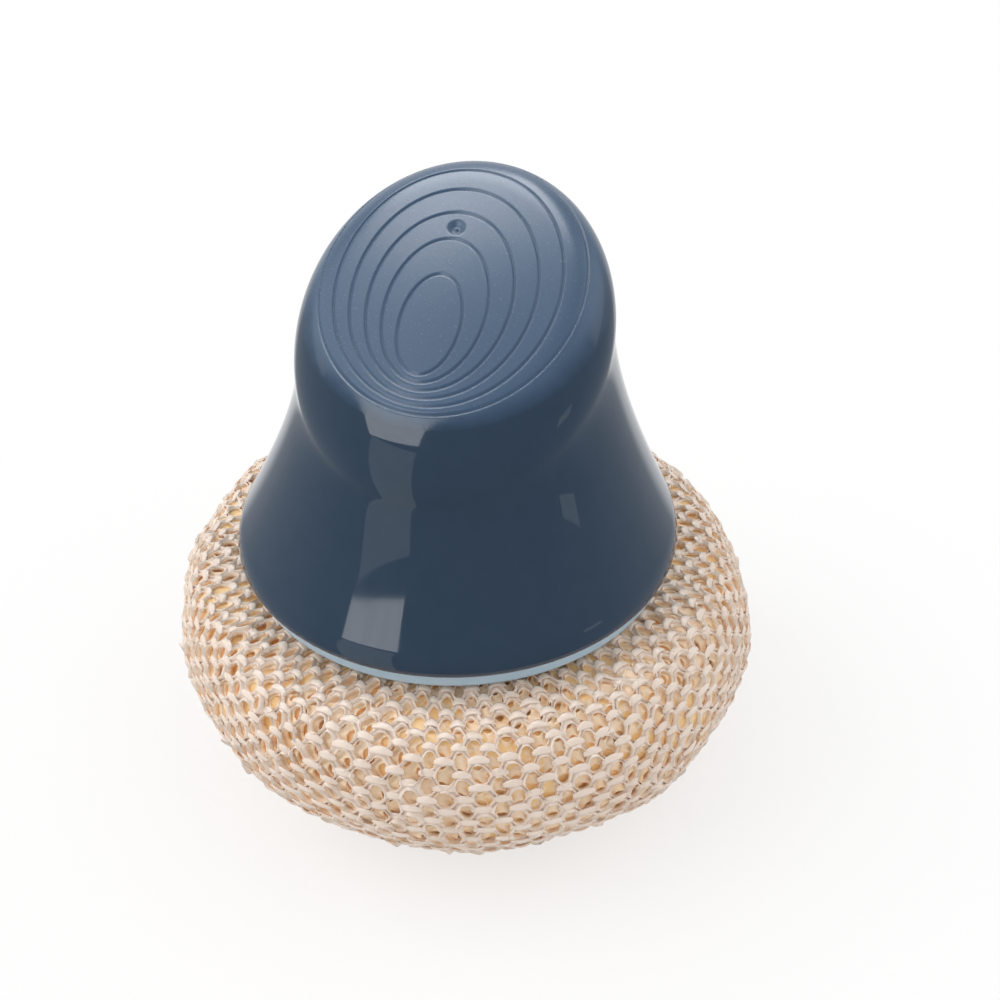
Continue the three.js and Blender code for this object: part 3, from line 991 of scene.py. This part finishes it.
world = bpy.data.worlds.new("studio")
world.use_nodes = True
world.node_tree.nodes.clear()
bpy.context.scene.world = world
path = add_node(world, "ShaderNodeLightPath", {}).outputs
direction = add_node(world, "ShaderNodeTexCoord", {}).outputs["Generated"]
frontness = add_node(world, "ShaderNodeVectorMath", {0: direction, 1: -away}, operation="DOT_PRODUCT")
halved = ranged(world, frontness.outputs["Value"], (0, 1), old=(-1, 1))
room = add_node(world, "ShaderNodeValToRGB", {"Fac": halved})
room.color_ramp.elements[0].color = (1, 1, 1, 1)
room.color_ramp.elements[1].color = (DIM_ROOM, DIM_ROOM, DIM_ROOM, 1)
for towards, tone in ROOM_TONES:
    room.color_ramp.elements.new((towards + 1) / 2).color = (tone, tone, tone, 1)
soft = ranged(world, halved, SOFT_LIGHT)
mirrored = add_node(world, "ShaderNodeMix", {0: path["Is Glossy Ray"], 2: soft, 3: room.outputs["Color"]})
direct = combined(world, "MAXIMUM", path["Is Camera Ray"], path["Is Transmission Ray"])
level = add_node(world, "ShaderNodeMix", {0: direct, 2: mirrored.outputs[0], 3: 1.0})
sky = add_node(world, "ShaderNodeBackground", {"Color": (1, 1, 1, 1), "Strength": level.outputs[0]})
add_node(world, "ShaderNodeOutputWorld", {"Surface": sky.outputs["Background"]})
print("soft light", SOFT_LIGHT)

# %% [markdown]
# Two wide lamps model the form: a key from the upper left and a weaker fill from the upper right.
# They are kept out of reflections, where they would show as round spots.

# %% Lamps


def soft_sun(name, strength, towards, spread):
    """A wide sun that shines from a direction, given as right, away from the camera and up."""
    lamp = bpy.data.lights.new(name, "SUN")
    lamp.energy = strength
    lamp.angle = math.radians(spread)
    placed = bpy.data.objects.new(name, lamp)
    source = right * towards[0] + away * towards[1] + upright * towards[2]
    placed.rotation_mode = "QUATERNION"
    placed.rotation_quaternion = source.to_track_quat("Z", "Y")
    placed.visible_glossy = False
    bpy.context.scene.collection.objects.link(placed)
    print(name, strength)


soft_sun("key", 1.4, (-1.0, 0.1, 0.6), spread=60)
soft_sun("fill", 0.65, (1.0, 0.0, 0.6), spread=70)

# %% [markdown]
# What shows in the gloss are cards: a sheet overhead and one at each side for the sheen of the pad and
# shoulder, a window at the front left with a dim strip below it, and a small lamp at the right.
# They light nothing else, so they change no colour.

# %% Cards seen in the gloss
CLOTH_SIZE = 60
CLOTH_UNEVENNESS = 0.15
CARD_CORNERS = ((-1, -1), (1, -1), (1, 1), (-1, 1))


def card_material(name, radiance):
    material = new_material(name)
    cloth = noise(material, CLOTH_SIZE, detail=2)
    dim, bright = radiance * (1 - CLOTH_UNEVENNESS), radiance * (1 + CLOTH_UNEVENNESS)
    glow = add_node(material, "ShaderNodeEmission", {"Strength": ranged(material, cloth, (dim, bright))})
    add_node(material, "ShaderNodeOutputMaterial", {"Surface": glow.outputs["Emission"]})
    return material


def gloss_card(name, radiance, spot, size, roll=0):
    """A glowing card that faces the handle, placed to its right, in front of it and above its rim."""
    sideways, forward, height = spot
    centre = (right * sideways - away * forward + upright * (RIM_Z + height)) * MM
    back = centre.normalized()
    aside = Matrix.Rotation(math.radians(roll), 3, back) @ upright.cross(back).normalized()
    top = back.cross(aside)
    half_wide, half_tall = aside * size[0] * MM / 2, top * size[1] * MM / 2
    corners = [tuple(centre + half_wide * a + half_tall * b) for a, b in CARD_CORNERS]
    mesh = bpy.data.meshes.new(name)
    mesh.from_pydata(corners, [], [(0, 1, 2, 3)])
    mesh.materials.append(card_material(name, radiance))
    card = bpy.data.objects.new(name, mesh)
    card.visible_camera = card.visible_diffuse = card.visible_transmission = card.visible_shadow = False
    bpy.context.scene.collection.objects.link(card)
    print(name, radiance)


gloss_card("overhead_sheet", 7.0, (-80, -440, 900), (620, 510))
gloss_card("left_sheet", 1.1, (-783, -210, 965), (700, 1230))
gloss_card("right_sheet", 0.9, (932, -249, 811), (700, 920))
gloss_card("window_pane", 3.0, (-485, 447, 648), (400, 545), roll=18)
gloss_card("window_below", 0.65, (-582, 682, -78), (400, 1040))
gloss_card("right_lamp", 0.7, (792, 428, 100), (150, 120))

# %% [markdown]
# Last comes the colour management, which keeps colours as written.
# Light bounces many times between pale ribbons, so its paths are followed further than usual.

# %% View and light paths
RIBBON_BOUNCES = 12

bpy.context.scene.view_settings.view_transform = "Standard"
bpy.context.scene.cycles.diffuse_bounces = RIBBON_BOUNCES
